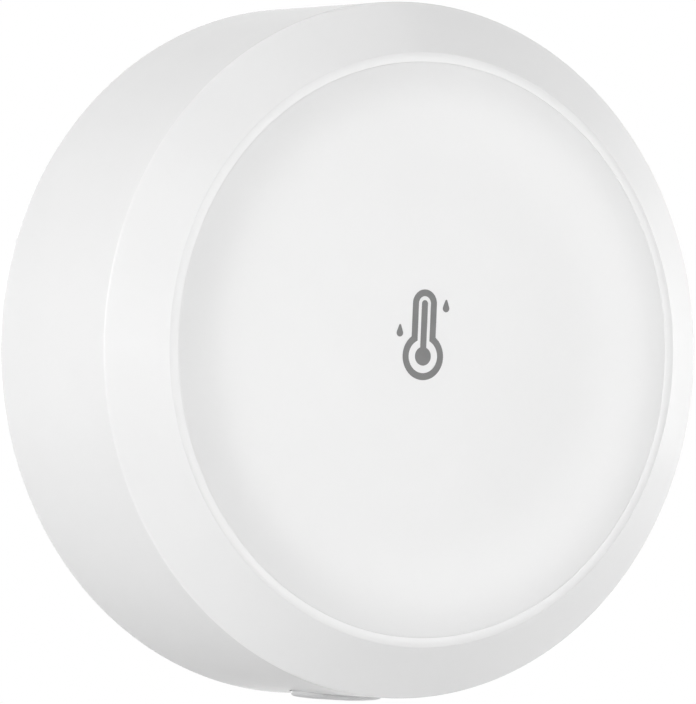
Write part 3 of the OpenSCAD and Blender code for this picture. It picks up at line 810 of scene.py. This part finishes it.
# soft boxes, placed by their direction from the object
softBoxes = {
    "leftBox": {"azimuth": -90, "elevation": 3, "distance": 0.6, "size": 0.8, "power": 0.85},
    "leftFront": {"azimuth": -75, "elevation": 3, "distance": 0.6, "size": 0.55, "power": 2.66},
    "rightFront": {"azimuth": 78, "elevation": 3, "distance": 0.6, "size": 0.55, "power": 2.72},
    "topBox": {"azimuth": 0, "elevation": 80, "distance": 0.6, "size": 0.6, "power": 0.78},
    "topBack": {"azimuth": 180, "elevation": 75, "distance": 0.6, "size": 0.5, "power": 0.3},
    "frontBox": {"azimuth": -6, "elevation": -4, "distance": 0.6, "size": 0.22, "power": 1.04},
    "faceBox": {"azimuth": 29, "elevation": 2, "distance": 0.6, "size": 0.13, "power": 0.175},
    "backBox": {"azimuth": 184, "elevation": 4, "distance": 0.7, "size": 0.3, "power": 1.6},
}


lampAim = Vector((0, -11 * mm, 0))


def addSoftBox(name, spec):
    turn, tilt = math.radians(spec["azimuth"]), math.radians(spec["elevation"])
    out = Vector((math.sin(turn) * math.cos(tilt), -math.cos(turn) * math.cos(tilt), math.sin(tilt)))
    bpy.ops.object.light_add(type="AREA", location=out * spec["distance"] + lampAim)
    lamp = bpy.context.object
    lamp.name = name
    lamp.data.shape = "DISK"
    lamp.data.size = spec["size"]
    lamp.data.energy = spec["power"]
    lamp.rotation_euler = out.to_track_quat("Z", "Y").to_euler()


for boxName, boxSpec in softBoxes.items():
    addSoftBox(boxName, boxSpec)

# pale floor under the object, out of the photograph's view: paper that goes white away from the shadow
studioFloor = {
    "height": -75 * mm, "size": 3, "shadowReach": (0.1, 0.4), "dark": (0.88, 0.88, 0.88),
    "light": (0.9, 0.9, 0.9), "toneScale": 3, "rough": (0.8, 0.9), "grainScale": 400, "grain": 0.05,
    "grainHeight": 0.02 * mm,
}


def floorPaper(spec):
    material = grainFinish("floorPaper", spec)
    tree = material.node_tree
    coordinates = addNode(tree, "ShaderNodeTexCoord")
    distance = addNode(tree, "ShaderNodeVectorMath", operation="LENGTH")
    tree.links.new(coordinates.outputs["Object"], distance.inputs[0])
    away = addNode(tree, "ShaderNodeMapRange", interpolation_type="SMOOTHSTEP")
    away.inputs["From Min"].default_value, away.inputs["From Max"].default_value = spec["shadowReach"]
    tree.links.new(distance.outputs["Value"], away.inputs["Value"])
    share = addNode(tree, "ShaderNodeMath", operation="MULTIPLY")
    tree.links.new(away.outputs["Result"], share.inputs[0])
    tree.links.new(whenSeen(tree), share.inputs[1])
    glow = addNode(tree, "ShaderNodeEmission")
    paper = blendShaders(tree, share.outputs[0], tree.nodes["Principled BSDF"], glow)
    geometry = addNode(tree, "ShaderNodeNewGeometry")  # nothing is hidden from a camera under the floor
    clear = addNode(tree, "ShaderNodeBsdfTransparent")
    oneSided = blendShaders(tree, geometry.outputs["Backfacing"], paper, clear)
    tree.links.new(oneSided.outputs[0], tree.nodes["Material Output"].inputs["Surface"])
    return material


clearSelection()
bpy.ops.mesh.primitive_plane_add(size=studioFloor["size"], location=(0, 0, studioFloor["height"]))
floor = bpy.context.object
floor.name = "studioFloor"
floor.data.materials.append(floorPaper(studioFloor))
print("studio ready")

bpy.context.scene.view_settings.view_transform = "Standard"
